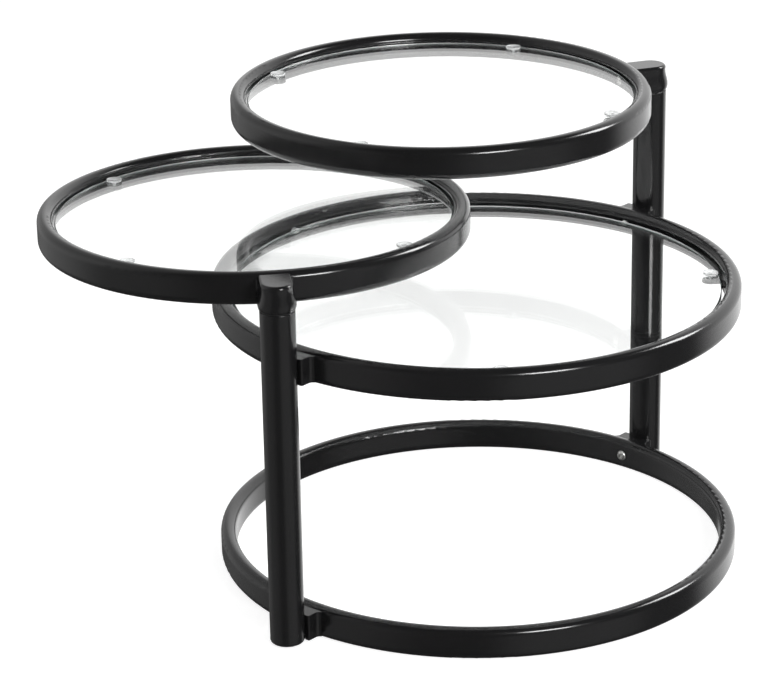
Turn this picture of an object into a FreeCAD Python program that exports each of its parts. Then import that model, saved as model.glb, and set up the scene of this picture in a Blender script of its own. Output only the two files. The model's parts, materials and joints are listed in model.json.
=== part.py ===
import FreeCAD, Part
import math
import os

# Swivel coffee table: two round rings held by two posts, and two round trays that
# swing on the post heads. Millimetres, +Z up. The origin is on the axis of the base
# ring at floor level, and the posts stand on the X axis.
#
# Pieces that belong to one post are drawn in its arm frame: the post's axis is Z, and
# the ring that the post carries has its centre on +X.

V = FreeCAD.Vector
ORIGIN = V(0, 0, 0)
ALONG_X = V(1, 0, 0)
ALONG_Y = V(0, 1, 0)
UP = V(0, 0, 1)

# ------------------------------------------------------------------ driving sizes
# Rings: flat-oval steel tube, rolled to a circle and welded shut
FRAME_RING_D = 500.0      # outside diameter of the base ring and the middle ring
TRAY_RING_D = 408.0       # outside diameter of the two tray rings
TUBE_W = 15.0             # tube section, measured radially
TUBE_H = 30.0             # tube section, measured vertically
TUBE_FLAT = 1.0           # flat left between the rounded edges, above and below
TUBE_WALL = 1.5

# Levels
MIDDLE_TOP = 281.0        # floor to the top of the middle ring
LOWER_RISE = 72.0         # middle ring top to lower tray top, at the short post
UPPER_RISE = 73.5         # lower tray top to upper tray top
LOWER_DROOP = 1.0         # degrees that the lower tray hangs away from its post
UPPER_DROOP = 0.0

# How the trays stand at rest: direction from the post to the tray centre, in degrees
LOWER_SWING = 48.4
UPPER_SWING = 150.4

# Posts: round steel tube
POST_D = 32.0
POST_WALL = 2.0
POST_EDGE = 0.8           # rounding of the tube ends
POST_RING_GAP = 8.0       # clear space between a post and the rings
FLOOR_GAP = 2.5           # under the post plugs
PLUG_FLANGE_T = 1.5
PLUG_FLANGE_IN = 0.6      # the plug's flange stands back from the tube's outside
PLUG_WALL = 1.6
PLUG_NUT_GAP = 0.8        # under the lowest rivet nut

# Saddle blocks between the posts and the rings
SADDLE_H = 25.0
SADDLE_W = 33.0
SADDLE_WRAP = 11.0        # the block stops this far short of the post's axis
SADDLE_FLARE = 4.5        # concave radius where the block meets the ring
SADDLE_CORNER = 1.4

# Button-head bolts of the saddle blocks, and their rivet nuts in the posts
FRAME_BOLT_D = 6.0
FRAME_BOLT_L = 30.0
FRAME_HEAD_D = 10.5
FRAME_HEAD_H = 3.0
FRAME_HEX = 4.0
NUT_BODY_D = 9.0
NUT_FLANGE_D = 13.0
NUT_FLANGE_T = 0.8
NUT_BULGE_D = 11.4
NUT_BULGE_L = 3.2
NUT_L = 11.5

# Swivel caps: the cast heads that carry the trays
CAP_H = 24.7
CAP_LIFT = 3.3            # the cap's foot is this far above the tray ring's underside
CAP_TOP_R = 11.8          # flat top
CAP_SHOULDER_R = 15.2     # just under the rounded top edge
CAP_WAIST_R = 15.9        # half-way up
CAP_BULGE_R = 17.4        # widest, near the foot
CAP_FOOT_R = 16.3
CAP_BULGE_Z = 4.5
CAP_EDGE = 3.0            # height of the rounded top edge
CAP_REACH = 18.0          # post axis to the outside of the tray ring
CAP_FLARE = 2.5
CAP_BOLT_D = 5.0
CAP_BOLT_L = 25.0
CAP_HEAD_D = 9.5
CAP_HEAD_H = 2.6
CAP_HEX = 3.0

# Pivot inside the post head
PIN_D = 12.0
PIN_IN_CAP = 18.0
PIN_TAIL = 4.5            # pin left below its retaining clip
PIN_CHAMFER = 1.0
BUSH_L = 32.0
BUSH_FLANGE_D = 30.6
BUSH_FLANGE_T = 0.8
WASHER_D = 30.0
WASHER_T = 0.5
CLIP_D = 19.0
CLIP_T = 1.2
CLIP_MOUTH = 8.0
GROOVE_DEPTH = 1.0

# Glass and what carries it
GLASS_T = 6.0
GLASS_BEVEL = 0.8
TRAY_RECESS = 8.5         # ring top to glass top
MIDDLE_RECESS = 10.0
TRAY_RIM_GAP = 1.5        # glass rim to tray ring
MIDDLE_RIM_GAP = 3.6      # glass rim to middle ring, which clears the bolt heads
TAB_W = 16.0
TAB_T = 2.0
TAB_HOLE_D = 5.2
TAB_ANGLES = (45.0, 135.0, 225.0, 315.0)
PAD_INSET = 11.0          # pad centre from the ring's inside wall
PAD_D = 18.0
PAD_H = 3.5               # tab to glass
PAD_LIP = 0.7
PAD_HOLLOW = 0.6
PAD_NECK_D = 9.0
PAD_STEM_D = 4.8
PAD_NIPPLE_D = 6.2
PAD_NIPPLE_TIP_D = 2.4
PAD_NIPPLE_L = 5.6
RIM_CLIP_ANGLES = (90.0, 270.0)
RIM_CLIP_W = 5.0
RIM_CLIP_LIP = 3.0        # reach of the clip over the glass
RIM_CLIP_T = 1.5          # thickness above and below the glass

# Clearances
SEAT_GAP = 0.05           # between pieces that are clamped or pressed together
HOLE_GAP = 0.25           # round a bolt shank in a drilled hole
RUN_GAP = 0.05            # round the pin in its bush
AXIAL_GAP = 0.1           # above the thrust washer and above the clip
HEAD_GAP = 0.7            # between the tray glass and the head of the cap bolt
TIP_GAP = 0.5             # beyond the tip of a bolt in a blind hole

# ------------------------------------------------------------------ worked-out places
FRAME_R = FRAME_RING_D / 2
TRAY_R = TRAY_RING_D / 2
POST_R = POST_D / 2
BORE_R = POST_R - POST_WALL
PIN_R = PIN_D / 2
TUBE_CORNER = (TUBE_W - TUBE_FLAT) / 2
POST_X = FRAME_R + POST_RING_GAP + POST_R
TRAY_X = CAP_REACH + TRAY_R
MIDDLE_Z = MIDDLE_TOP - TUBE_H
LOWER_Z = MIDDLE_Z + LOWER_RISE
UPPER_Z = LOWER_Z + UPPER_RISE
RING_LEVELS = {"base": 0.0, "middle": MIDDLE_Z}
POST_FOOT_Z = FLOOR_GAP + PLUG_FLANGE_T
SEAM = AXIAL_GAP + WASHER_T + BUSH_FLANGE_T
TRAY_GLASS_TOP = TUBE_H - TRAY_RECESS
MIDDLE_GLASS_TOP = TUBE_H - MIDDLE_RECESS
TRAY_GLASS_R = TRAY_R - TUBE_W - TRAY_RIM_GAP
MIDDLE_GLASS_R = FRAME_R - TUBE_W - MIDDLE_RIM_GAP
CAP_BOLT_Z = TRAY_GLASS_TOP - GLASS_T - HEAD_GAP - CAP_HEAD_D / 2
CLIP_TOP = -SEAM - BUSH_L - AXIAL_GAP
SADDLE_LIFT = (TUBE_H - SADDLE_H) / 2


# ------------------------------------------------------------------ small helpers
def line(start, end):
    return Part.LineSegment(start, end).toShape()


def corner_arc(centre, radius, start):
    """Quarter circle in the XZ plane, from the angle start to start + 90 degrees."""
    points = []
    for angle in (start, start + 45, start + 90):
        turn = math.radians(angle)
        points.append(centre + V(math.cos(turn), 0, math.sin(turn)) * radius)
    return Part.Arc(*points).toShape()


def rounded_section(x_outer, z_bottom, width, height, corner):
    """Face in the XZ plane: an upright rectangle with round corners."""
    x_far = x_outer - corner
    x_near = x_outer - width + corner
    z_low = z_bottom + corner
    z_high = z_bottom + height - corner
    arcs = [
        corner_arc(V(x_far, 0, z_low), corner, -90),
        corner_arc(V(x_far, 0, z_high), corner, 0),
        corner_arc(V(x_near, 0, z_high), corner, 90),
        corner_arc(V(x_near, 0, z_low), corner, 180),
    ]
    edges = []
    for index, bend in enumerate(arcs):
        following = arcs[(index + 1) % len(arcs)]
        edges.append(bend)
        edges.append(line(bend.lastVertex(True).Point, following.firstVertex(True).Point))
    return Part.Face(Part.Wire(edges))


def revolved(face):
    return face.revolve(ORIGIN, UP, 360)


def turned(*corners):
    """Solid of revolution about Z from (radius, height) corners."""
    points = [V(radius, 0, height) for radius, height in corners]
    return revolved(Part.Face(Part.makePolygon(points + points[:1])))


def drum(radius, z_bottom, z_top, x=0.0, y=0.0):
    return Part.makeCylinder(radius, z_top - z_bottom, V(x, y, z_bottom), UP)


def rod(radius, x_start, x_end, z):
    return Part.makeCylinder(radius, x_end - x_start, V(x_start, 0, z), ALONG_X)


def slab(x_start, x_end, width, z_bottom, z_top):
    """Box that is centred on the XZ plane."""
    return Part.makeBox(x_end - x_start, width, z_top - z_bottom, V(x_start, -width / 2, z_bottom))


def moved(shape, x=0.0, y=0.0, z=0.0):
    copy = shape.copy()
    copy.translate(V(x, y, z))
    return copy


def spun(shape, degrees, axis=UP):
    copy = shape.copy()
    copy.rotate(ORIGIN, axis, degrees)
    return copy


def at_post(shape, side, z):
    """From an arm frame to the table: side is -1 at the short post, 1 at the tall one."""
    facing = spun(shape, 180) if side > 0 else shape
    return moved(facing, side * POST_X, 0, z)


# ------------------------------------------------------------------ rings and glass
def ring_form(radius, grow=0.0):
    """Outer form of a ring with no hollow, centred on Z and standing on z = 0."""
    width = TUBE_W + 2 * grow
    height = TUBE_H + 2 * grow
    return revolved(rounded_section(radius + grow, -grow, width, height, TUBE_CORNER + grow))


def ring_tube(radius, holes):
    """Hollow ring standing on z = 0, drilled through both walls by the given rods."""
    width = TUBE_W - 2 * TUBE_WALL
    height = TUBE_H - 2 * TUBE_WALL
    hollow = rounded_section(radius - TUBE_WALL, TUBE_WALL, width, height, TUBE_CORNER - TUBE_WALL)
    return ring_form(radius).cut([revolved(hollow)] + holes)


def glass_pane(radius, z_top):
    """Round pane with bevelled rims."""
    z_bottom = z_top - GLASS_T
    return turned(
        (0, z_bottom),
        (radius - GLASS_BEVEL, z_bottom),
        (radius, z_bottom + GLASS_BEVEL),
        (radius, z_top - GLASS_BEVEL),
        (radius - GLASS_BEVEL, z_top),
        (0, z_top),
    )


def glass_tab(wall_r, z_top):
    """Round-ended steel tab that reaches inwards from the ring's wall, on +X."""
    z_bottom = z_top - TAB_T
    x_tip = wall_r - PAD_INSET
    arm = slab(x_tip, wall_r, TAB_W, z_bottom, z_top)
    tab = arm.fuse(drum(TAB_W / 2, z_bottom, z_top, x_tip)).removeSplitter()
    tab = tab.cut(drum(TAB_HOLE_D / 2, z_bottom, z_top, x_tip))
    return tab.common(drum(wall_r - SEAT_GAP, z_bottom, z_top))


def suction_pad(z_tab):
    """Soft cup on Z: its lip carries the glass, its nipple hangs through the tab."""
    z_lip = z_tab + PAD_H - SEAT_GAP
    z_shoulder = z_tab + SEAT_GAP
    z_under = z_tab - TAB_T - SEAT_GAP
    return turned(
        (0, z_under - PAD_NIPPLE_L),
        (PAD_NIPPLE_TIP_D / 2, z_under - PAD_NIPPLE_L),
        (PAD_NIPPLE_D / 2, z_under),
        (PAD_STEM_D / 2, z_under),
        (PAD_STEM_D / 2, z_shoulder),
        (PAD_NECK_D / 2, z_shoulder),
        (PAD_D / 2, z_lip - PAD_LIP),
        (PAD_D / 2, z_lip),
        (PAD_NECK_D / 2, z_lip - PAD_HOLLOW),
        (0, z_lip - PAD_HOLLOW),
    )


def glass_supports(wall_r, z_glass):
    """Tabs and pads inside a ring centred on Z, for a pane with its underside at z_glass."""
    z_tab = z_glass - PAD_H
    tab = glass_tab(wall_r, z_tab)
    pad = moved(suction_pad(z_tab), wall_r - PAD_INSET)
    tabs = Part.makeCompound([spun(tab, angle) for angle in TAB_ANGLES])
    pads = Part.makeCompound([spun(pad, angle) for angle in TAB_ANGLES])
    return tabs, pads


def rim_clip(wall_r, glass_r, z_glass):
    """Clear channel that grips the rim of a pane and bears on the ring's wall, on +X."""
    z_low = z_glass - RIM_CLIP_T
    z_high = z_glass + GLASS_T + RIM_CLIP_T
    block = slab(glass_r - RIM_CLIP_LIP, wall_r, RIM_CLIP_W, z_low, z_high)
    block = block.common(drum(wall_r - SEAT_GAP, z_low, z_high))
    return block.cut(drum(glass_r + SEAT_GAP, z_glass - SEAT_GAP, z_glass + GLASS_T + SEAT_GAP))


# ------------------------------------------------------------------ fasteners
def button_bolt(shank_d, length, head_d, head_h, hex_size):
    """Button-head bolt on the X axis: seat at x = 0, head on +X, shank along -X."""
    head_r = head_d / 2
    crown_r = hex_size * 0.75
    rim = head_h * 0.3
    crown = V(crown_r, 0, head_h)
    shoulder = V(head_r, 0, rim)
    bow = (crown + shoulder) * 0.5 + V(head_h - rim, 0, head_r - crown_r) * 0.12
    start = V(0, 0, -length)
    corners = [V(head_r, 0, 0), V(shank_d / 2, 0, 0), V(shank_d / 2, 0, -length), start]
    edges = [line(start, V(0, 0, head_h)), line(V(0, 0, head_h), crown)]
    edges.append(Part.Arc(crown, bow, shoulder).toShape())
    edges.append(line(shoulder, corners[0]))
    for near, far in zip(corners, corners[1:]):
        edges.append(line(near, far))
    bolt = revolved(Part.Face(Part.Wire(edges)))
    reach = hex_size / math.sqrt(3)
    socket = []
    for index in range(7):
        turn = math.radians(60 * index)
        socket.append(V(reach * math.cos(turn), reach * math.sin(turn), head_h * 0.35))
    bolt = bolt.cut(Part.Face(Part.makePolygon(socket)).extrude(UP * head_h))
    return spun(bolt, 90, ALONG_Y)


def bolt_in_ring(bolt, ring_x, ring_r, head_d, z):
    """Bolt in the arm frame, its head seated on the inside wall of the ring."""
    wall_r = ring_r - TUBE_W - SEAT_GAP
    return moved(bolt, ring_x - math.sqrt(wall_r ** 2 - (head_d / 2) ** 2), 0, z)


def rivet_nut():
    """Rivet nut in the post's wall, about the X axis of the arm frame."""
    z_far = NUT_FLANGE_D
    tube_wall = drum(POST_R, -z_far, z_far)
    flange_skin = drum(POST_R + NUT_FLANGE_T, -z_far, z_far)
    x_outside = POST_R + NUT_FLANGE_T
    flange = rod(NUT_FLANGE_D / 2, 0, x_outside, 0).common(flange_skin).cut(tube_wall)
    body = rod(NUT_BODY_D / 2, POST_R - NUT_L, x_outside, 0).common(flange_skin)
    bulge = rod(NUT_BULGE_D / 2, BORE_R - NUT_BULGE_L, POST_R, 0)
    bulge = bulge.common(drum(BORE_R - SEAT_GAP, -z_far, z_far))
    nut = body.fuse([flange, bulge]).removeSplitter()
    return nut.cut(rod(FRAME_BOLT_D / 2 + SEAT_GAP, -POST_R, x_outside, 0))


# ------------------------------------------------------------------ frame
def flare_pair(ring_x, ring_r, half_width, radius, z_bottom, z_top):
    """Concave spreads on both sides of a block, where it meets the ring on its +X side."""
    y_centre = half_width + radius
    x_centre = ring_x - math.sqrt((ring_r + radius) ** 2 - y_centre ** 2)
    y_tip = y_centre - radius * 0.35
    web = slab(x_centre, x_centre + 2 * radius, 2 * y_tip, z_bottom, z_top)
    scoops = [drum(radius, z_bottom, z_top, x_centre, side * y_centre) for side in (-1, 1)]
    return web.cut(scoops)


def saddle_block():
    """Block in the arm frame: hollowed for the post, and shaped to the ring beyond it."""
    z_top = SADDLE_LIFT + SADDLE_H
    half_width = SADDLE_W / 2
    body = slab(SADDLE_WRAP, POST_X - FRAME_R + SADDLE_FLARE, SADDLE_W, SADDLE_LIFT, z_top)
    upright = []
    for edge in body.Edges:
        middle = edge.CenterOfMass
        if abs(middle.x - SADDLE_WRAP) < 0.01 and abs(abs(middle.y) - half_width) < 0.01:
            upright.append(edge)
    body = body.makeFillet(SADDLE_CORNER, upright)
    flares = flare_pair(POST_X, FRAME_R, half_width, SADDLE_FLARE, SADDLE_LIFT, z_top)
    body = body.fuse(flares).removeSplitter()
    bolt_hole = rod(FRAME_BOLT_D / 2 + HOLE_GAP, 0, POST_X - FRAME_R + SADDLE_FLARE, TUBE_H / 2)
    nut_seat = rod(NUT_FLANGE_D / 2 + HOLE_GAP, 0, POST_R + NUT_FLANGE_T + SEAT_GAP, TUBE_H / 2)
    post = drum(POST_R + SEAT_GAP, SADDLE_LIFT, z_top)
    ring = moved(ring_form(FRAME_R, SEAT_GAP), POST_X)
    return body.cut([post, ring, bolt_hole, nut_seat])


def post_tube(z_top):
    """Post in its arm frame, with the drilled seats of its rivet nuts."""
    section = rounded_section(POST_R, POST_FOOT_Z, POST_WALL, z_top - POST_FOOT_Z, POST_EDGE)
    seats = []
    for level in RING_LEVELS.values():
        seats.append(rod(NUT_BODY_D / 2 + SEAT_GAP, 0, 2 * POST_R, level + TUBE_H / 2))
    return revolved(section).cut(seats)


def post_plug():
    body_r = BORE_R - SEAT_GAP
    hollow_r = body_r - PLUG_WALL
    flange_r = POST_R - PLUG_FLANGE_IN
    z_top = TUBE_H / 2 - NUT_BULGE_D / 2 - PLUG_NUT_GAP
    return turned(
        (0, FLOOR_GAP),
        (flange_r - PLUG_FLANGE_T / 2, FLOOR_GAP),
        (flange_r, FLOOR_GAP + PLUG_FLANGE_T / 2),
        (flange_r, POST_FOOT_Z),
        (body_r, POST_FOOT_Z),
        (body_r, z_top),
        (hollow_r, z_top),
        (hollow_r, POST_FOOT_Z),
        (0, POST_FOOT_Z),
    )


def pivot_bush():
    """Flanged sleeve pressed into the top of a post, in the cap's heights."""
    z_flange = -SEAM + BUSH_FLANGE_T
    return turned(
        (PIN_R + RUN_GAP, -SEAM - BUSH_L),
        (BORE_R - SEAT_GAP, -SEAM - BUSH_L),
        (BORE_R - SEAT_GAP, -SEAM),
        (BUSH_FLANGE_D / 2, -SEAM),
        (BUSH_FLANGE_D / 2, z_flange),
        (PIN_R + RUN_GAP, z_flange),
    )


def thrust_washer():
    z_bottom = -AXIAL_GAP - WASHER_T
    washer = drum(WASHER_D / 2, z_bottom, -AXIAL_GAP)
    return washer.cut(drum(PIN_R + HOLE_GAP, z_bottom, -AXIAL_GAP))


def frame_pieces():
    nodes = {}
    sides = {"short": (-1, LOWER_Z + CAP_LIFT), "tall": (1, UPPER_Z + CAP_LIFT)}
    ring_hole = rod(FRAME_BOLT_D / 2 + HOLE_GAP, -POST_X, POST_X, TUBE_H / 2)
    ring = ring_tube(FRAME_R, [ring_hole])
    bolt = button_bolt(FRAME_BOLT_D, FRAME_BOLT_L, FRAME_HEAD_D, FRAME_HEAD_H, FRAME_HEX)
    bolt = bolt_in_ring(bolt, POST_X, FRAME_R, FRAME_HEAD_D, TUBE_H / 2)
    nut = moved(rivet_nut(), 0, 0, TUBE_H / 2)
    block = saddle_block()
    bolts = []
    nuts = []
    for level_name, level in RING_LEVELS.items():
        nodes[f"{level_name}_ring"] = moved(ring, 0, 0, level)
        for side_name, (side, _) in sides.items():
            nodes[f"{level_name}_{side_name}_saddle"] = at_post(block, side, level)
            bolts.append(at_post(bolt, side, level))
            nuts.append(at_post(nut, side, level))
    nodes["frame_bolts"] = Part.makeCompound(bolts)
    nodes["post_rivet_nuts"] = Part.makeCompound(nuts)
    for side_name, (side, cap_z) in sides.items():
        nodes[f"{side_name}_post"] = at_post(post_tube(cap_z - SEAM), side, 0)
        nodes[f"{side_name}_post_plug"] = at_post(post_plug(), side, 0)
        nodes[f"{side_name}_pivot_bush"] = at_post(pivot_bush(), side, cap_z)
        nodes[f"{side_name}_thrust_washer"] = at_post(thrust_washer(), side, cap_z)
    return nodes


def middle_shelf_pieces():
    """Glass shelf of the middle ring and what holds it."""
    wall_r = FRAME_R - TUBE_W
    z_glass = MIDDLE_GLASS_TOP - GLASS_T
    tabs, pads = glass_supports(wall_r, z_glass)
    clip = rim_clip(wall_r, MIDDLE_GLASS_R, z_glass)
    shelf = {
        "middle_glass": glass_pane(MIDDLE_GLASS_R, MIDDLE_GLASS_TOP),
        "middle_glass_tabs": tabs,
        "middle_suction_pads": pads,
        "middle_rim_clips": Part.makeCompound([spun(clip, angle) for angle in RIM_CLIP_ANGLES]),
    }
    return {name: moved(shape, 0, 0, MIDDLE_Z) for name, shape in shelf.items()}


# ------------------------------------------------------------------ trays
def cap_flank(side):
    """Edges of the cap's flank in the YZ plane, from its foot to its flat top."""
    z_shoulder = CAP_H - CAP_EDGE
    heights = (
        (CAP_FOOT_R, 0),
        (CAP_BULGE_R, CAP_BULGE_Z),
        (CAP_WAIST_R, (CAP_BULGE_Z + z_shoulder) / 2),
        (CAP_SHOULDER_R, z_shoulder),
    )
    curve = Part.BSplineCurve()
    curve.interpolate([V(0, side * radius, z) for radius, z in heights])
    width = CAP_SHOULDER_R - CAP_TOP_R
    shoulder = V(0, side * CAP_SHOULDER_R, z_shoulder)
    bow = V(0, side * (CAP_TOP_R + width * 0.75), CAP_H - CAP_EDGE * 0.3)
    rim = V(0, side * CAP_TOP_R, CAP_H)
    return curve.toShape(), Part.Arc(shoulder, bow, rim).toShape()


def cap_body():
    """Cast head before it is fitted: half-round at the post, straight towards the ring."""
    foot = V(0, 0, 0)
    crown = V(0, 0, CAP_H)
    flank, edge = cap_flank(1)
    half = Part.Wire([
        line(foot, V(0, CAP_FOOT_R, 0)),
        flank,
        edge,
        line(V(0, CAP_TOP_R, CAP_H), crown),
        line(crown, foot),
    ])
    nose = Part.Face(half).revolve(ORIGIN, UP, 180)
    far_flank, far_edge = cap_flank(-1)
    whole = Part.Wire([
        line(V(0, -CAP_FOOT_R, 0), V(0, CAP_FOOT_R, 0)),
        flank,
        edge,
        line(V(0, CAP_TOP_R, CAP_H), V(0, -CAP_TOP_R, CAP_H)),
        far_edge,
        far_flank,
    ])
    neck = Part.Face(whole).extrude(ALONG_X * (CAP_REACH + CAP_FLARE))
    flares = flare_pair(TRAY_X, TRAY_R, CAP_SHOULDER_R, CAP_FLARE, CAP_EDGE, CAP_H - CAP_EDGE)
    return nose.fuse([neck, flares]).removeSplitter()


def swivel_cap(droop):
    """Cast head on z = 0, bored for its pin and for the bolt that holds the ring."""
    tip = CAP_REACH + TUBE_W - CAP_BOLT_L - TIP_GAP
    ring = moved(ring_form(TRAY_R, SEAT_GAP), TRAY_X)
    bolt_hole = rod(CAP_BOLT_D / 2 + SEAT_GAP, tip, TRAY_X, CAP_BOLT_Z)
    leaning = [moved(spun(cutter, droop, ALONG_Y), 0, 0, -CAP_LIFT) for cutter in (ring, bolt_hole)]
    pin_hole = drum(PIN_R + SEAT_GAP, 0, PIN_IN_CAP + TIP_GAP)
    return cap_body().cut(leaning + [pin_hole])


def pivot_pin():
    """Steel pin in the cap's heights, grooved for its clip."""
    z_end = CLIP_TOP - CLIP_T - PIN_TAIL
    neck_r = PIN_R - GROOVE_DEPTH
    return turned(
        (0, z_end),
        (PIN_R - PIN_CHAMFER, z_end),
        (PIN_R, z_end + PIN_CHAMFER),
        (PIN_R, CLIP_TOP - CLIP_T - SEAT_GAP),
        (neck_r, CLIP_TOP - CLIP_T - SEAT_GAP),
        (neck_r, CLIP_TOP + SEAT_GAP),
        (PIN_R, CLIP_TOP + SEAT_GAP),
        (PIN_R, PIN_IN_CAP - PIN_CHAMFER),
        (PIN_R - PIN_CHAMFER, PIN_IN_CAP),
        (0, PIN_IN_CAP),
    )


def pivot_clip():
    """Open ring that snaps into the pin's groove under the bush."""
    z_bottom = CLIP_TOP - CLIP_T
    disc = drum(CLIP_D / 2, z_bottom, CLIP_TOP)
    hole = drum(PIN_R - GROOVE_DEPTH + SEAT_GAP, z_bottom, CLIP_TOP)
    mouth = slab(0, CLIP_D, CLIP_MOUTH, z_bottom, CLIP_TOP)
    return disc.cut([hole, mouth])


def tray_pieces(name, post_side, level, swing, droop):
    """One tray with its swivel cap and pin, turned to where it stands at rest."""
    wall_r = TRAY_R - TUBE_W
    ring_hole = rod(CAP_BOLT_D / 2 + HOLE_GAP, -TRAY_X, 0, CAP_BOLT_Z)
    tabs, pads = glass_supports(wall_r, TRAY_GLASS_TOP - GLASS_T)
    bolt = button_bolt(CAP_BOLT_D, CAP_BOLT_L, CAP_HEAD_D, CAP_HEAD_H, CAP_HEX)
    leaning = {
        "tray_ring": moved(ring_tube(TRAY_R, [ring_hole]), TRAY_X),
        "tray_glass": moved(glass_pane(TRAY_GLASS_R, TRAY_GLASS_TOP), TRAY_X),
        "glass_tabs": moved(tabs, TRAY_X),
        "suction_pads": moved(pads, TRAY_X),
        "cap_bolt": bolt_in_ring(bolt, TRAY_X, TRAY_R, CAP_HEAD_D, CAP_BOLT_Z),
    }
    upright = {
        "swivel_cap": swivel_cap(droop),
        "pivot_pin": pivot_pin(),
        "pivot_clip": pivot_clip(),
    }
    arm = {piece: spun(shape, droop, ALONG_Y) for piece, shape in leaning.items()}
    arm.update({piece: moved(shape, 0, 0, CAP_LIFT) for piece, shape in upright.items()})
    nodes = {}
    for piece, shape in arm.items():
        nodes[f"{name}_{piece}"] = moved(spun(shape, swing), post_side * POST_X, 0, level)
    return nodes


# ------------------------------------------------------------------ the whole table
def main():
    nodes = frame_pieces()
    nodes.update(middle_shelf_pieces())
    nodes.update(tray_pieces("lower", -1, LOWER_Z, LOWER_SWING, LOWER_DROOP))
    nodes.update(tray_pieces("upper", 1, UPPER_Z, UPPER_SWING, UPPER_DROOP))
    os.makedirs("parts", exist_ok=True)
    for name, shape in nodes.items():
        shape.exportStep(f"parts/{name}.step")
        volume = sum(solid.Volume for solid in shape.Solids)
        print(f"{name}: {len(shape.Solids)} solid(s), {volume:.0f} mm3, valid {shape.isValid()}")


main()
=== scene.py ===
import json
import logging
import math
from dataclasses import dataclass, replace
from enum import Enum
from typing import Any, Optional, Sequence, Union

import bpy
from mathutils import Matrix, Vector


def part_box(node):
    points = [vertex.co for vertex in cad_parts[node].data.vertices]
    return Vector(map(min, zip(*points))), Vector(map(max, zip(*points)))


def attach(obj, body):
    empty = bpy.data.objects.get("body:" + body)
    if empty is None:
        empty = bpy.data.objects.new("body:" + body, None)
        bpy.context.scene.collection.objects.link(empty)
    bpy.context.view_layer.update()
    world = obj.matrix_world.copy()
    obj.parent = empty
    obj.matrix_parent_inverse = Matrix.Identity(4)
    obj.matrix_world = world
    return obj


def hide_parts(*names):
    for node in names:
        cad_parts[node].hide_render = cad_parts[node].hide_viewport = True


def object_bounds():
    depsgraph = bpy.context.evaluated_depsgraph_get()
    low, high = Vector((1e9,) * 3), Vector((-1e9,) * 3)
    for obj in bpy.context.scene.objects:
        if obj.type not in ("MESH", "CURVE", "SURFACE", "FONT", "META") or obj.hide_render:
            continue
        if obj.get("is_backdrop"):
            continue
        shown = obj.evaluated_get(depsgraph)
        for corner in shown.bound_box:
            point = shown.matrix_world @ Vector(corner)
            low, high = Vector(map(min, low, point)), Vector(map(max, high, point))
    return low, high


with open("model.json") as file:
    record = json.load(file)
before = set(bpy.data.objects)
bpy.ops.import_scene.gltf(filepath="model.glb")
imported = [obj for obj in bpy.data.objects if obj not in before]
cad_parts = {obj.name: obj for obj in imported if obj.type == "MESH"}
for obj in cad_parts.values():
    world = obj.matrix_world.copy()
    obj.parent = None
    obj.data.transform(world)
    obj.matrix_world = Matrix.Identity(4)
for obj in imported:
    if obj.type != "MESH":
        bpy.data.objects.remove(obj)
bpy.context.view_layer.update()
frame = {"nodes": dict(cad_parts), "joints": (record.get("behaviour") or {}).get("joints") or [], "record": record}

LOG = logging.getLogger("swivel_table")
MM = 0.001
UP = Vector((0.0, 0.0, 1.0))
Colour = tuple[float, float, float]
Operand = Union["Value", float, int]

# The lower tray hangs this far out of level, down and away from its post.
TRAY_LEAN = math.radians(1.0)
# Its pane mirrors as if it lay further out of true, along the tray's arm (a level unit vector).
MIRROR_LEAN = math.radians(1.55)
LOWER_ARM = (0.664, 0.748)
# Level that a noise pattern varies about.
EVEN = 0.5


class Body(Enum):
    """The bodies that a piece can ride on."""

    FRAME = "frame"
    LOWER_TRAY = "lower_tray"
    UPPER_TRAY = "upper_tray"


# ---------------------------------------------------------------- shader building
@dataclass(frozen=True)
class Pattern:
    """A cloudy pattern: features per metre, octaves, and the weight of the finer octaves."""

    scale: float
    detail: float = 2.0
    roughness: float = 0.5


class Value:
    """An output socket that takes part in Python arithmetic."""

    def __init__(self, graph: "Graph", socket: Optional[bpy.types.NodeSocket]) -> None:
        """Wrap a socket.

        Args:
            graph: the node tree that the socket belongs to.
            socket: the output to read, or None for a node that has none.
        """
        self.graph = graph
        self.socket = socket

    def _with(self, operation: str, first: Operand, second: Operand) -> "Value":
        """Add one Math node that joins two operands."""
        return self.graph.node("ShaderNodeMath", {"operation": operation}, {0: first, 1: second})

    def __add__(self, other: Operand) -> "Value":
        """Sum of both."""
        return self._with("ADD", self, other)

    def __radd__(self, other: Operand) -> "Value":
        """Sum, with the number on the left."""
        return self._with("ADD", other, self)

    def __sub__(self, other: Operand) -> "Value":
        """Difference."""
        return self._with("SUBTRACT", self, other)

    def __rsub__(self, other: Operand) -> "Value":
        """Difference, with the number on the left."""
        return self._with("SUBTRACT", other, self)

    def __mul__(self, other: Operand) -> "Value":
        """Product."""
        return self._with("MULTIPLY", self, other)

    def __rmul__(self, other: Operand) -> "Value":
        """Product, with the number on the left."""
        return self._with("MULTIPLY", other, self)

    def highest(self, other: Operand) -> "Value":
        """Larger of the two."""
        return self._with("MAXIMUM", self, other)

    def ease(self, low: float, high: float) -> "Value":
        """Ramp smoothly from 0 at low to 1 at high.

        Args:
            low: the value that gives 0.
            high: the value that gives 1.

        Returns:
            The eased value.
        """
        return self.graph.node(
            "ShaderNodeMapRange",
            {"interpolation_type": "SMOOTHSTEP"},
            {"Value": self, "From Min": low, "From Max": high},
        )


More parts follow.
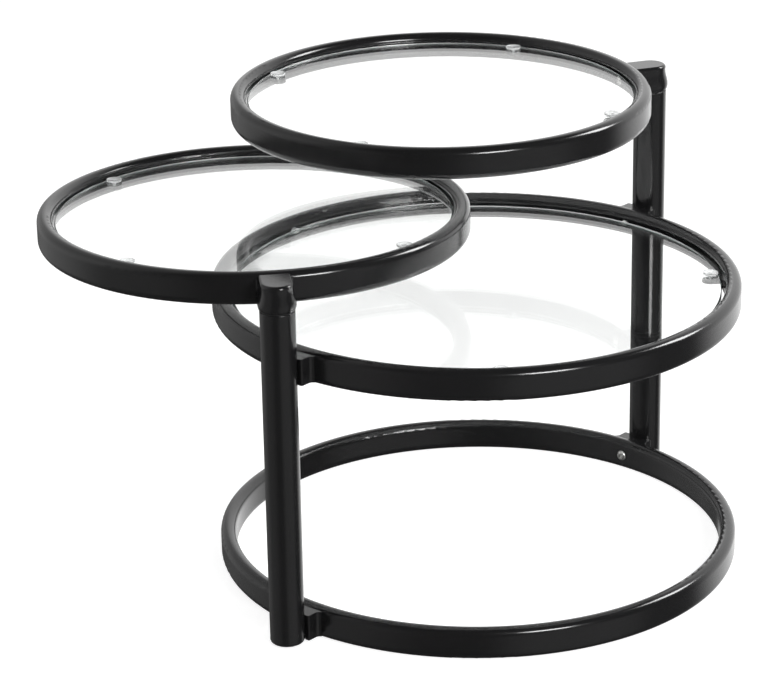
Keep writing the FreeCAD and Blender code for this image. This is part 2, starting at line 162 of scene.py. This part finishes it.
class Graph:
    """The node tree of one material or of the world."""

    def __init__(self, tree: bpy.types.NodeTree) -> None:
        """Empty a tree and take it over.

        Args:
            tree: the tree to build in.
        """
        self.tree = tree
        tree.nodes.clear()

    def node(
        self,
        kind: str,
        settings: Optional[dict[str, Any]] = None,
        values: Optional[dict[Union[str, int], Any]] = None,
        output: Union[str, int] = 0,
    ) -> Value:
        """Add a node.

        Args:
            kind: Blender's name of the node type.
            settings: properties, which are set before the sockets.
            values: numbers, colours or links for the input sockets.
            output: which output to return.

        Returns:
            The chosen output.
        """
        made = self.tree.nodes.new(kind)
        for name, setting in (settings or {}).items():
            setattr(made, name, setting)
        for key, value in (values or {}).items():
            socket = made.inputs[key]
            if isinstance(value, Value):
                self.tree.links.new(value.socket, socket)
            else:
                socket.default_value = value
        return Value(self, made.outputs[output] if made.outputs else None)

    def place(self) -> Value:
        """Object coordinates of the point that is shaded."""
        return self.node("ShaderNodeTexCoord", output="Object")

    def noise(self, pattern: Pattern, place: Optional[Value] = None) -> Value:
        """Lay a cloudy pattern through the object's space.

        Args:
            pattern: its scale, detail and roughness.
            place: coordinates that it follows, or None for the object's own.

        Returns:
            A value that varies about EVEN.
        """
        values = {
            "Vector": place or self.place(),
            "Scale": pattern.scale,
            "Detail": pattern.detail,
            "Roughness": pattern.roughness,
        }
        return self.node("ShaderNodeTexNoise", {}, values, "Fac")

    def blend(self, factor: Value, first: Colour, second: Colour) -> Value:
        """Mix two colours by a value.

        Args:
            factor: 0 gives the first, 1 the second.
            first: linear colour.
            second: linear colour.

        Returns:
            The mixed colour.
        """
        values = {"Factor": factor, 6: (*first, 1.0), 7: (*second, 1.0)}
        return self.node("ShaderNodeMix", {"data_type": "RGBA"}, values, 2)

    def mix(self, factor: Value, first: Value, second: Value) -> Value:
        """Mix two shaders.

        Args:
            factor: 0 gives the first, 1 the second.
            first: shader.
            second: shader.

        Returns:
            The mixed shader.
        """
        return self.node("ShaderNodeMixShader", {}, {0: factor, 1: first, 2: second})

    def bump(
        self, height: Value, depth: float, strength: float, normal: Optional[Value] = None
    ) -> Value:
        """Turn a height pattern into a normal.

        Args:
            height: the pattern, 0 to 1.
            depth: real height of the pattern in metres.
            strength: how much of it is used.
            normal: the normal that is bent, or None for the surface's own.

        Returns:
            The bent normal.
        """
        values = {"Strength": strength, "Distance": depth, "Height": height}
        if normal is not None:
            values["Normal"] = normal
        return self.node("ShaderNodeBump", {}, values)

    def leaning(self, slope: tuple[float, ...]) -> Value:
        """Tip the normal of a level pane, alike on both faces.

        Args:
            slope: fall per metre along X and Y.

        Returns:
            The tipped normal.
        """
        normal = self.node("ShaderNodeNewGeometry", output="Normal")
        upward = self.node("ShaderNodeSeparateXYZ", {}, {"Vector": normal}, "Z")
        sideways = self.node(
            "ShaderNodeVectorMath",
            {"operation": "SCALE"},
            {"Vector": (*slope, 0.0), "Scale": upward},
        )
        tipped = self.node("ShaderNodeVectorMath", {"operation": "ADD"}, {0: normal, 1: sideways})
        return self.node("ShaderNodeVectorMath", {"operation": "NORMALIZE"}, {0: tipped})

    def levelness(self) -> Value:
        """Tell how level the surface lies.

        Returns:
            1 for a level face, 0 for an upright one.
        """
        normal = self.node("ShaderNodeNewGeometry", output="True Normal")
        across = self.node("ShaderNodeSeparateXYZ", {}, {"Vector": normal}, "Z")
        return self.node("ShaderNodeMath", {"operation": "ABSOLUTE"}, {0: across})

    def ray(self, kind: str) -> Value:
        """Light Path output such as Is Glossy Ray."""
        return self.node("ShaderNodeLightPath", output=kind)

    def seen(self) -> Value:
        """1 for what is seen directly or through a clear piece."""
        return self.ray("Is Camera Ray").highest(self.ray("Is Transmission Ray"))

    def pale_shadow(self, surface: Value, tint: float) -> Value:
        """Let lamp light through a clear piece, so that its shadow is pale.

        Args:
            surface: the shader that every other ray meets.
            tint: share of the light that gets through.

        Returns:
            The joined shader.
        """
        clear = self.node("ShaderNodeBsdfTransparent", {}, {"Color": grey(tint)})
        return self.mix(self.ray("Is Shadow Ray"), surface, clear)


def shade(colour: Colour, factor: float) -> Colour:
    """Lighten or darken a colour."""
    return (colour[0] * factor, colour[1] * factor, colour[2] * factor)


def grey(level: float) -> tuple[float, float, float, float]:
    """Opaque grey for a colour socket."""
    return (level, level, level, 1.0)


# ---------------------------------------------------------------- finishes
MADE: dict[str, bpy.types.Material] = {}


@dataclass(frozen=True)
class Finish:
    """A surface finish, made once as a material."""

    name: str
    slot: str
    colour: Colour

    def material(self) -> bpy.types.Material:
        """Find or make the material.

        Returns:
            The material with this finish's name.
        """
        if self.name not in MADE:
            made = bpy.data.materials.new(self.name)
            made.use_nodes = True
            made.diffuse_color = (*self.colour, 1.0)
            graph = Graph(made.node_tree)
            graph.node("ShaderNodeOutputMaterial", {}, {"Surface": self.surface(graph)})
            MADE[self.name] = made
        return MADE[self.name]

    def surface(self, graph: Graph) -> Value:
        """Build the shader; each finish has its own."""
        raise NotImplementedError

    def dress(self, piece: bpy.types.Object) -> None:
        """Give a piece this finish as its only material."""
        piece.data.materials.clear()
        piece.data.materials.append(self.material())


@dataclass(frozen=True)
class BlackCoat(Finish):
    """Baked powder coat: black, glossy, with a faint orange-peel ripple."""

    roughness: float
    peel_size: float
    peel_depth: float
    peel_sharpness: float = 0.45
    peel_strength: float = 0.6
    cloud: Pattern = Pattern(9.0, detail=3.0)
    cloud_gloss: float = 0.05
    speck: Pattern = Pattern(900.0, detail=1.0)
    speck_gloss: float = 0.03
    darkest: float = 0.8
    palest: float = 1.25
    ior: float = 1.5

    def surface(self, graph: Graph) -> Value:
        """Coat with a cloudy gloss and a fine ripple.

        Args:
            graph: the material's nodes.

        Returns:
            The shader.
        """
        cloud = graph.noise(self.cloud)
        speck = graph.noise(self.speck)
        peel = graph.noise(Pattern(1.0 / self.peel_size, roughness=self.peel_sharpness))
        dark, pale = shade(self.colour, self.darkest), shade(self.colour, self.palest)
        gloss = self.roughness + self.cloud_gloss * (cloud - EVEN)
        values = {
            "Base Color": graph.blend(cloud, dark, pale),
            "Roughness": gloss + self.speck_gloss * (speck - EVEN),
            "IOR": self.ior,
            "Normal": graph.bump(peel, self.peel_depth, self.peel_strength),
        }
        return graph.node("ShaderNodeBsdfPrincipled", {}, values)


@dataclass(frozen=True)
class PaneGlass(Finish):
    """Clear float glass with a ground rim and a pale shadow."""

    rim_colour: Colour
    rim_roughness: float = 0.3
    rim_grain: Pattern = Pattern(900.0)
    rim_variation: float = 0.1
    rim_until: float = 0.9
    face_from: float = 0.98
    wave: Pattern = Pattern(3.0)
    wave_depth: float = 0.02 * MM
    wave_strength: float = 0.05
    ior: float = 1.5
    shadow_tint: float = 0.93
    slope: tuple[float, ...] = (0.0, 0.0)

    def surface(self, graph: Graph) -> Value:
        """Clear on the level faces, ground and green on the rim and its bevels.

        Args:
            graph: the material's nodes.

        Returns:
            The shader.
        """
        rim = 1.0 - graph.levelness().ease(self.rim_until, self.face_from)
        ground = self.rim_roughness + self.rim_variation * (graph.noise(self.rim_grain) - EVEN)
        wave = graph.noise(self.wave)
        tipped = graph.leaning(self.slope)
        values = {
            "Base Color": graph.blend(rim, self.colour, self.rim_colour),
            "Roughness": rim * ground,
            "IOR": self.ior,
            "Transmission Weight": 1.0,
            "Normal": graph.bump(wave, self.wave_depth, self.wave_strength, tipped),
        }
        glass = graph.node("ShaderNodeBsdfPrincipled", {}, values)
        return graph.pale_shadow(glass, self.shadow_tint)


@dataclass(frozen=True)
class SoftVinyl(Finish):
    """Clear soft vinyl with a slight haze and a moulded ripple."""

    haze: float = 0.06
    haze_variation: float = 0.05
    cloud: Pattern = Pattern(260.0)
    darkest: float = 0.93
    clearness: float = 0.72
    ripple_depth: float = 0.05 * MM
    ripple_strength: float = 0.3
    ior: float = 1.46
    shadow_tint: float = 0.8

    def surface(self, graph: Graph) -> Value:
        """Hazy clear plastic.

        Args:
            graph: the material's nodes.

        Returns:
            The shader.
        """
        cloud = graph.noise(self.cloud)
        values = {
            "Base Color": graph.blend(cloud, self.colour, shade(self.colour, self.darkest)),
            "Roughness": self.haze + self.haze_variation * (cloud - EVEN),
            "IOR": self.ior,
            "Transmission Weight": self.clearness,
            "Normal": graph.bump(cloud, self.ripple_depth, self.ripple_strength),
        }
        vinyl = graph.node("ShaderNodeBsdfPrincipled", {}, values)
        return graph.pale_shadow(vinyl, self.shadow_tint)


@dataclass(frozen=True)
class PlatedSteel(Finish):
    """Plated steel, bright or darkened, with a crystalline mottle and fine scratches."""

    roughness: float
    mottle: Pattern = Pattern(700.0, detail=3.0)
    mottle_gloss: float = 0.12
    scratch: Pattern = Pattern(2200.0, detail=1.0)
    scratch_gloss: float = 0.06
    scratch_depth: float = 0.02 * MM
    scratch_strength: float = 0.3
    scratch_stretch: Colour = (1.0, 1.0, 0.08)
    darkest: float = 0.85

    def surface(self, graph: Graph) -> Value:
        """Metal with a mottled gloss, scratched along Z.

        Args:
            graph: the material's nodes.

        Returns:
            The shader.
        """
        mottle = graph.noise(self.mottle)
        stretched = {"Vector": graph.place(), "Scale": self.scratch_stretch}
        scratch = graph.noise(self.scratch, graph.node("ShaderNodeMapping", {}, stretched))
        gloss = self.roughness + self.mottle_gloss * (mottle - EVEN)
        values = {
            "Base Color": graph.blend(mottle, shade(self.colour, self.darkest), self.colour),
            "Metallic": 1.0,
            "Roughness": gloss + self.scratch_gloss * (scratch - EVEN),
            "Normal": graph.bump(scratch, self.scratch_depth, self.scratch_strength),
        }
        return graph.node("ShaderNodeBsdfPrincipled", {}, values)


@dataclass(frozen=True)
class MouldedPlastic(Finish):
    """Injection-moulded nylon with a fine spark-eroded grain."""

    roughness: float
    cloud: Pattern = Pattern(60.0)
    grain: Pattern = Pattern(2600.0, detail=1.0)
    grain_gloss: float = 0.1
    grain_depth: float = 0.04 * MM
    grain_strength: float = 0.5
    darkest: float = 0.85
    palest: float = 1.15
    ior: float = 1.53

    def surface(self, graph: Graph) -> Value:
        """Satin plastic with grain.

        Args:
            graph: the material's nodes.

        Returns:
            The shader.
        """
        cloud = graph.noise(self.cloud)
        grain = graph.noise(self.grain)
        dark, pale = shade(self.colour, self.darkest), shade(self.colour, self.palest)
        values = {
            "Base Color": graph.blend(cloud, dark, pale),
            "Roughness": self.roughness + self.grain_gloss * (grain - EVEN),
            "IOR": self.ior,
            "Normal": graph.bump(grain, self.grain_depth, self.grain_strength),
        }
        return graph.node("ShaderNodeBsdfPrincipled", {}, values)


TUBE_COAT = BlackCoat(
    name="gloss_coated_tube",
    slot="black_powder_coat",
    colour=(0.009, 0.009, 0.0094),
    roughness=0.17,
    peel_size=1.6 * MM,
    peel_depth=0.02 * MM,
)
CAST_COAT = BlackCoat(
    name="gloss_coated_casting",
    slot="black_casting",
    colour=(0.0095, 0.0095, 0.01),
    roughness=0.13,
    peel_size=1.1 * MM,
    peel_depth=0.03 * MM,
)
PANE = PaneGlass(
    name="clear_float_glass",
    slot="glass",
    colour=(0.985, 0.995, 0.99),
    rim_colour=(0.05, 0.09, 0.08),
)
LEANING_PANE = replace(
    PANE,
    name="clear_float_glass_leaning",
    slope=tuple(math.tan(MIRROR_LEAN) * part for part in LOWER_ARM),
)
VINYL = SoftVinyl(
    name="clear_soft_vinyl",
    slot="clear_soft_plastic",
    colour=(0.95, 0.96, 0.96),
)
ZINC = PlatedSteel(
    name="bright_zinc_plate",
    slot="zinc_steel",
    colour=(0.66, 0.66, 0.64),
    roughness=0.28,
)
# The washer's near-black colour is partly painted shade: it is darkened so that the seam between each cap and its
# post shows as the shaded gap there.
WASHER_STEEL_WITH_SEAM_SHADE = PlatedSteel(
    name="washer_steel_painted_seam_shade",
    slot="washer_steel",
    colour=(0.03, 0.03, 0.032),
    roughness=0.4,
)
NYLON = MouldedPlastic(
    name="moulded_black_nylon",
    slot="black_plastic",
    colour=(0.014, 0.014, 0.0145),
    roughness=0.42,
)
FINISHES: dict[str, Finish] = {
    finish.slot: finish for finish in (TUBE_COAT, CAST_COAT, PANE, VINYL, ZINC, WASHER_STEEL_WITH_SEAM_SHADE, NYLON)
}
SPECIAL: dict[str, Finish] = {"lower_tray_glass": LEANING_PANE}


# ---------------------------------------------------------------- modelling helpers
def clear_selection() -> None:
    """Deselect every object."""
    bpy.ops.object.select_all(action="DESELECT")


def select_only(piece: bpy.types.Object) -> None:
    """Select one piece alone and make it active.

    Args:
        piece: the object to work on.
    """
    clear_selection()
    piece.select_set(True)
    bpy.context.view_layer.objects.active = piece


def apply_modifier(piece: bpy.types.Object, kind: str, **settings: Any) -> None:
    """Add a modifier, set it and apply it.

    Args:
        piece: the active object, which gets it.
        kind: Blender's modifier type.
        settings: the modifier's properties.
    """
    modifier = piece.modifiers.new(kind.title(), kind)
    for name, setting in settings.items():
        setattr(modifier, name, setting)
    bpy.ops.object.modifier_apply(modifier=modifier.name)


def lathe(name: str, profile: Sequence[tuple[float, float]], sides: int) -> bpy.types.Object:
    """Draw a closed turned form up from its lowest ring.

    Args:
        name: the object's name.
        profile: (radius, height) of each ring in metres.
        sides: faces round the form.

    Returns:
        The new object, about the Z axis.
    """
    clear_selection()
    radius, height = profile[0]
    bpy.ops.mesh.primitive_circle_add(
        vertices=sides, radius=radius, fill_type="NGON", location=(0.0, 0.0, height)
    )
    piece = bpy.context.object
    piece.name = name
    bpy.ops.object.mode_set(mode="EDIT")
    bpy.ops.mesh.select_all(action="SELECT")
    for next_radius, next_height in profile[1:]:
        rise = {"value": (0.0, 0.0, next_height - height)}
        bpy.ops.mesh.extrude_region_move(TRANSFORM_OT_translate=rise)
        grow = next_radius / radius
        bpy.ops.transform.resize(
            value=(grow, grow, 1.0), center_override=(0.0, 0.0, next_height)
        )
        radius, height = next_radius, next_height
    bpy.ops.mesh.select_all(action="SELECT")
    bpy.ops.mesh.normals_make_consistent(inside=False)
    bpy.ops.object.mode_set(mode="OBJECT")
    return piece


def block(name: str, low: Vector, high: Vector) -> bpy.types.Object:
    """Make a block between two corners, with its object at the origin.

    Args:
        name: the object's name.
        low: its lowest corner.
        high: its highest corner.

    Returns:
        The new block, which is selected and active.
    """
    clear_selection()
    bpy.ops.mesh.primitive_cube_add(size=1.0, location=(low + high) / 2, scale=high - low)
    made = bpy.context.object
    made.name = name
    bpy.ops.object.transform_apply(location=True, rotation=True, scale=True)
    return made


def settle(piece: bpy.types.Object, place: Matrix) -> None:
    """Put a piece's place into its mesh, so that its object sits at the origin.

    Args:
        piece: the object to settle.
        place: where it belongs.
    """
    select_only(piece)
    piece.matrix_world = place
    bpy.ops.object.transform_apply(location=True, rotation=True, scale=True)


def copy_of(piece: bpy.types.Object, name: str) -> bpy.types.Object:
    """Copy a piece together with its mesh.

    Args:
        piece: the object to copy.
        name: the copy's name.

    Returns:
        The copy.
    """
    twin = piece.copy()
    twin.data = piece.data.copy()
    twin.name = name
    bpy.context.scene.collection.objects.link(twin)
    return twin


def fit(piece: bpy.types.Object, finish: Finish, body: Body, node: str) -> None:
    """Dress a finished piece and put it on its body in a CAD node's place.

    Args:
        piece: the finished object.
        finish: what it is made of.
        body: the body that it rides on.
        node: the CAD node that it stands for.
    """
    finish.dress(piece)
    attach(piece, body.value)
    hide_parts(node)


# ---------------------------------------------------------------- glass mounts
@dataclass
class SuctionMounts:
    """The four clear suction cups that carry one pane, each plugged through its tab."""

    body: Body
    prefix: str
    lean: float = 0.0
    height: float = 3.4 * MM
    lip_radius: float = 7.5 * MM
    lip_round: float = 0.15 * MM
    hollow: float = 0.9 * MM
    neck_radius: float = 5.6 * MM
    neck_round: float = 0.25 * MM
    tab_gap: float = 0.05 * MM
    tab_thickness: float = 2.1 * MM
    stem_radius: float = 2.4 * MM
    nipple_radius: float = 3.1 * MM
    nipple_length: float = 6.4 * MM
    tip_radius: float = 1.2 * MM
    sides: int = 40
    sector: float = 15.0
    widest: float = 40 * MM

    @property
    def node(self) -> str:
        """Name of the CAD node that the cups stand for."""
        return f"{self.prefix}_suction_pads"

    def build(self) -> list[bpy.types.Object]:
        """Model one cup, copy it to the four tabs and fit all of them.

        Returns:
            The four cups.
        """
        original = self._cup()
        cups = []
        for index, spot in enumerate(self._spots(), start=1):
            cup = copy_of(original, f"{self.prefix}_cup_{index}")
            settle(cup, spot)
            fit(cup, VINYL, self.body, self.node)
            cups.append(cup)
        bpy.data.objects.remove(original)
        LOG.info("%s: %d suction cups", self.prefix, len(cups))
        return cups

    def _nipple(self) -> list[tuple[float, float]]:
        """Outline of the plug under the tab.

        Returns:
            (radius, height) of each ring, from the tip up.
        """
        under, long = -self.tab_thickness, self.nipple_length
        return [
            (self.tip_radius * 0.55, under - long),
            (self.tip_radius, under - long * 0.96),
            (self.tip_radius * 1.35, under - long * 0.7),
            (self.nipple_radius * 0.9, under - long * 0.16),
            (self.nipple_radius, under - long * 0.07),
            (self.nipple_radius * 0.94, under),
            (self.stem_radius, under),
        ]

    def _lip(self) -> list[tuple[float, float]]:
        """Outline of the stem, the neck on the tab and the hollow lip under the pane.

        Returns:
            (radius, height) of each ring, from the stem up.
        """
        top, wide, neck = self.height, self.lip_radius, self.neck_radius
        return [
            (self.stem_radius, self.tab_gap),
            (neck * 0.94, self.tab_gap),
            (neck, self.neck_round),
            (neck * 1.04, top * 0.2),
            (wide * 0.88, top * 0.34),
            (wide * 0.98, top * 0.5),
            (wide, top * 0.7),
            (wide, top - self.lip_round),
            (wide * 0.97, top),
            (wide * 0.9, top - self.lip_round),
            (wide * 0.66, top - self.hollow * 0.7),
            (wide * 0.3, top - self.hollow),
        ]

    def _cup(self) -> bpy.types.Object:
        """Turn the cup with its tab's upper face at z = 0.

        Returns:
            The cup that the others are copied from.
        """
        cup = lathe(f"{self.prefix}_cup", self._nipple() + self._lip(), self.sides)
        apply_modifier(cup, "SUBSURF", levels=1, render_levels=1)
        bpy.ops.object.shade_smooth()
        return cup

    def _spots(self) -> list[Matrix]:
        """Find where the CAD cups stand.

        Returns:
            One matrix for each cup, from the tab's upper face to the table.
        """
        low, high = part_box(self.node)
        centre = (low + high) / 2
        sectors: dict[int, list[Vector]] = {}
        for vertex in frame["nodes"][self.node].data.vertices:
            away = vertex.co - centre
            turn = math.degrees(math.atan2(away.y, away.x))
            number = round(turn / self.sector) % round(360 / self.sector)
            sectors.setdefault(number, []).append(vertex.co)
        lean_axis = UP.cross(self._arm(centre)) if self.lean else Vector((1.0, 0.0, 0.0))
        tilt = Matrix.Rotation(self.lean, 4, lean_axis)
        spots = []
        for cluster in self._joined(sectors):
            top = max(point.z for point in cluster)
            base = Vector((self._mid(cluster, 0), self._mid(cluster, 1), top - self.height))
            base.z -= math.sin(abs(self.lean)) * self.lip_radius
            spots.append(Matrix.Translation(base) @ tilt)
        return spots

    @staticmethod
    def _mid(points: Sequence[Vector], axis: int) -> float:
        """Middle of the points' extent along an axis."""
        return (min(p[axis] for p in points) + max(p[axis] for p in points)) / 2

    def _joined(self, sectors: dict[int, list[Vector]]) -> list[list[Vector]]:
        """Join neighbouring sectors, so that a cup on a sector's edge stays whole.

        Args:
            sectors: the CAD cups' points by their direction from the pane's centre.

        Returns:
            The points of each cup.
        """
        clusters: list[list[Vector]] = []
        for _, points in sorted(sectors.items()):
            for cluster in clusters:
                if (cluster[0] - points[0]).length < self.widest:
                    cluster.extend(points)
                    break
            else:
                clusters.append(list(points))
        return clusters

    def _arm(self, centre: Vector) -> Vector:
        """Level direction from the tray's own post to its centre.

        Args:
            centre: the middle of the tray's cups.

        Returns:
            The unit vector.
        """
        joint = next(j for j in frame["joints"] if j["child"] == self.body.value)
        away = centre - Vector(joint["pos_m"])
        away.z = 0.0
        return away.normalized()


@dataclass
class RimClips:
    """The two clear channels on the middle pane's rim that keep it off the ring."""

    node: str = "middle_rim_clips"
    pane: str = "middle_glass"
    clearance: float = 0.05 * MM
    overshoot: float = 5 * MM
    edge: float = 0.35 * MM
    edge_segments: int = 3
    smooth_below: float = math.radians(30.0)

    def build(self) -> list[bpy.types.Object]:
        """Model both channels where the CAD has them.

        Returns:
            The two channels.
        """
        clips = []
        points = [vertex.co.copy() for vertex in frame["nodes"][self.node].data.vertices]
        for index, side in enumerate((-1.0, 1.0), start=1):
            mine = [point for point in points if point.y * side > 0.0]
            clips.append(self._channel(f"rim_channel_{index}", side, mine))
        LOG.info("rim channels: %d", len(clips))
        return clips

    def _channel(self, name: str, side: float, points: Sequence[Vector]) -> bpy.types.Object:
        """Cut one channel out of its block and round its edges.

        Args:
            name: the piece's name.
            side: -1 for the channel at -Y, 1 for the one at +Y.
            points: the CAD channel's vertices.

        Returns:
            The channel.
        """
        low = Vector(min(point[axis] for point in points) for axis in range(3))
        high = Vector(max(point[axis] for point in points) for axis in range(3))
        clip = block(name, low, high)
        slot = self._slot(side, low, high)
        select_only(clip)
        apply_modifier(clip, "BOOLEAN", object=slot, operation="DIFFERENCE", solver="EXACT")
        bpy.data.objects.remove(slot)
        apply_modifier(
            clip, "BEVEL", width=self.edge, segments=self.edge_segments, limit_method="ANGLE"
        )
        bpy.ops.object.shade_smooth_by_angle(angle=self.smooth_below)
        fit(clip, VINYL, Body.FRAME, self.node)
        return clip

    def _slot(self, side: float, low: Vector, high: Vector) -> bpy.types.Object:
        """Make the block that cuts the pane's slot, from its rim out through the inner side.

        Args:
            side: -1 for the channel at -Y, 1 for the one at +Y.
            low: the channel's lowest corner.
            high: the channel's highest corner.

        Returns:
            The cutting block.
        """
        pane_low, pane_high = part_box(self.pane)
        rim = (pane_high if side > 0.0 else pane_low).y + side * self.clearance
        inside = side * (abs(low.y + high.y) / 2 - (high.y - low.y))
        start, end = sorted((rim, inside))
        return block(
            "slot",
            Vector((low.x - self.overshoot, start, pane_low.z - self.clearance)),
            Vector((high.x + self.overshoot, end, pane_high.z + self.clearance)),
        )


# ---------------------------------------------------------------- studio
def aim(azimuth: float, elevation: float) -> tuple[float, float, float]:
    """Turn an azimuth and an elevation into a direction.

    Args:
        azimuth: degrees round from +X towards +Y.
        elevation: degrees above the floor.

    Returns:
        The unit vector from the table.
    """
    turn, rise = math.radians(azimuth), math.radians(elevation)
    flat = math.cos(rise)
    return (flat * math.cos(turn), flat * math.sin(turn), math.sin(rise))


@dataclass(frozen=True)
class Card:
    """A soft bright patch of the surroundings: full within core degrees, gone at fade."""

    azimuth: float
    elevation: float
    level: float
    core: float
    fade: float

    def shine(self, graph: Graph, toward: Value) -> Value:
        """Light the surroundings round the card's own direction.

        Args:
            graph: the world's nodes.
            toward: the direction that is looked in.

        Returns:
            The card's level in that direction.
        """
        facing = graph.node(
            "ShaderNodeVectorMath",
            {"operation": "DOT_PRODUCT"},
            {0: toward, 1: aim(self.azimuth, self.elevation)},
            "Value",
        )
        gone, full = math.cos(math.radians(self.fade)), math.cos(math.radians(self.core))
        return self.level * facing.ease(gone, full)


@dataclass(frozen=True)
class Softbox:
    """A rectangular lamp that faces the table's middle."""

    name: str
    azimuth: float
    elevation: float
    distance: float
    width: float
    height: float
    level: float

    def build(self, target: Vector) -> None:
        """Hang the lamp.

        Args:
            target: the point that it faces.
        """
        away = Vector(aim(self.azimuth, self.elevation))
        data = bpy.data.lights.new(self.name, "AREA")
        data.shape = "RECTANGLE"
        data.size = self.width
        data.size_y = self.height
        data.energy = self.level * math.pi * self.width * self.height
        lamp = bpy.data.objects.new(self.name, data)
        bpy.context.scene.collection.objects.link(lamp)
        lamp.location = target + away * self.distance
        lamp.rotation_euler = (-away).to_track_quat("-Z", "Y").to_euler()
        LOG.info("lamp %s", self.name)


@dataclass
class Studio:
    """Pale floor, white surroundings and two softboxes."""

    floor_radius: float = 9.0
    floor_sides: int = 96
    floor_white: float = 0.8
    shown_white: float = 0.47
    shown_glow: float = 0.86
    room_level: float = 0.1
    dimmed: float = 0.9
    cards: tuple[Card, ...] = (
        Card(azimuth=9.5, elevation=4.0, level=1.25, core=26.0, fade=52.0),
        Card(azimuth=96.0, elevation=25.0, level=0.45, core=30.0, fade=62.0),
        Card(azimuth=144.5, elevation=0.0, level=0.22, core=20.0, fade=60.0),
        Card(azimuth=-97.0, elevation=-22.0, level=0.27, core=14.0, fade=40.0),
    )
    lamps: tuple[Softbox, ...] = (
        Softbox(
            "key_softbox",
            azimuth=-36.0,
            elevation=36.0,
            distance=2.6,
            width=0.62,
            height=0.9,
            level=19.0,
        ),
        Softbox(
            "front_softbox",
            azimuth=-110.0,
            elevation=24.0,
            distance=2.6,
            width=0.8,
            height=0.5,
            level=28.0,
        ),
    )

    def build(self) -> None:
        """Set up the world, the floor and the lamps."""
        low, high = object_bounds()
        middle = (low + high) / 2
        self._world()
        self._floor(middle)
        for lamp in self.lamps:
            lamp.build(middle)

    def _world(self) -> None:
        """White behind the table; in reflections, pale cards round a dim room."""
        world = bpy.data.worlds.new("studio_world")
        bpy.context.scene.world = world
        world.use_nodes = True
        graph = Graph(world.node_tree)
        toward = graph.node("ShaderNodeTexCoord", output="Generated")
        level: Operand = self.room_level
        for card in self.cards:
            level = level + card.shine(graph, toward)
        seen = graph.seen()
        mirrored = graph.ray("Is Glossy Ray")
        room = mirrored * level + (1.0 - mirrored) * (self.dimmed * level)
        strength = seen + (1.0 - seen) * room
        background = graph.node(
            "ShaderNodeBackground", {}, {"Color": grey(1.0), "Strength": strength}
        )
        graph.node("ShaderNodeOutputWorld", {}, {"Surface": background})

    def _floor(self, middle: Vector) -> None:
        """Lay the round pale floor.

        Args:
            middle: the table's middle, which it is centred under.
        """
        clear_selection()
        bpy.ops.mesh.primitive_circle_add(
            vertices=self.floor_sides,
            radius=self.floor_radius,
            fill_type="NGON",
            location=(middle.x, middle.y, 0.0),
        )
        floor = bpy.context.object
        floor.name = "studio_floor"
        made = bpy.data.materials.new("pale_floor")
        made.use_nodes = True
        self._floor_surface(Graph(made.node_tree))
        floor.data.materials.append(made)
        floor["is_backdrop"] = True

    def _floor_surface(self, graph: Graph) -> None:
        """Show the floor white with the table's shadow, but not to mirrors or from below.

        Args:
            graph: the floor material's nodes.
        """
        matt = graph.node("ShaderNodeBsdfDiffuse", {}, {"Color": grey(self.floor_white)})
        faint = graph.node("ShaderNodeBsdfDiffuse", {}, {"Color": grey(self.shown_white)})
        glow = graph.node("ShaderNodeEmission", {}, {"Strength": self.shown_glow})
        shown = graph.node("ShaderNodeAddShader", {}, {0: faint, 1: glow})
        surface = graph.mix(graph.seen(), matt, shown)
        gone = graph.node("ShaderNodeBsdfTransparent", {}, {})
        mirrored = graph.ray("Is Glossy Ray") * (1.0 - graph.ray("Is Transmission Ray"))
        below = graph.node("ShaderNodeNewGeometry", output="Backfacing")
        surface = graph.mix(mirrored.highest(below), surface, gone)
        graph.node("ShaderNodeOutputMaterial", {}, {"Surface": surface})


@dataclass(frozen=True)
class Viewpoint:
    """Where the camera stands, in metres, how it is turned, in degrees, and its lens."""

    location: tuple[float, float, float] = (-2.07796, -1.71172, 1.25626)
    heading: float = 41.2635
    downward: float = 21.2423
    roll: float = -0.9993
    lens: float = 140.257
    film_width: float = 36.0

    def build(self) -> None:
        """Create the camera and make it the scene's."""
        data = bpy.data.cameras.new("camera")
        data.sensor_fit = "HORIZONTAL"
        data.sensor_width = self.film_width
        data.lens = self.lens
        camera = bpy.data.objects.new("camera", data)
        bpy.context.scene.collection.objects.link(camera)
        turn = Matrix.Rotation(math.radians(self.heading - 90.0), 4, "Z")
        nod = Matrix.Rotation(math.radians(90.0 - self.downward), 4, "X")
        roll = Matrix.Rotation(math.radians(self.roll), 4, "Z")
        camera.matrix_world = Matrix.Translation(self.location) @ turn @ nod @ roll
        bpy.context.scene.camera = camera


# ---------------------------------------------------------------- the whole scene
def dress_frame() -> None:
    """Give every CAD node the finish that the record names for it."""
    for part in frame["record"]["subparts"]:
        finish = SPECIAL.get(part["node"], FINISHES[part["material_slot"]])
        finish.dress(frame["nodes"][part["node"]])
        LOG.info("%s: %s", part["node"], finish.name)


def main() -> None:
    """Dress the table, add its soft pieces and light it."""
    logging.basicConfig(level=logging.INFO, format="%(message)s")
    bpy.context.scene.view_settings.view_transform = "Standard"
    dress_frame()
    SuctionMounts(Body.FRAME, "middle").build()
    SuctionMounts(Body.LOWER_TRAY, "lower", lean=TRAY_LEAN).build()
    SuctionMounts(Body.UPPER_TRAY, "upper").build()
    RimClips().build()
    Studio().build()
    Viewpoint().build()


if __name__ == "__main__":
    main()
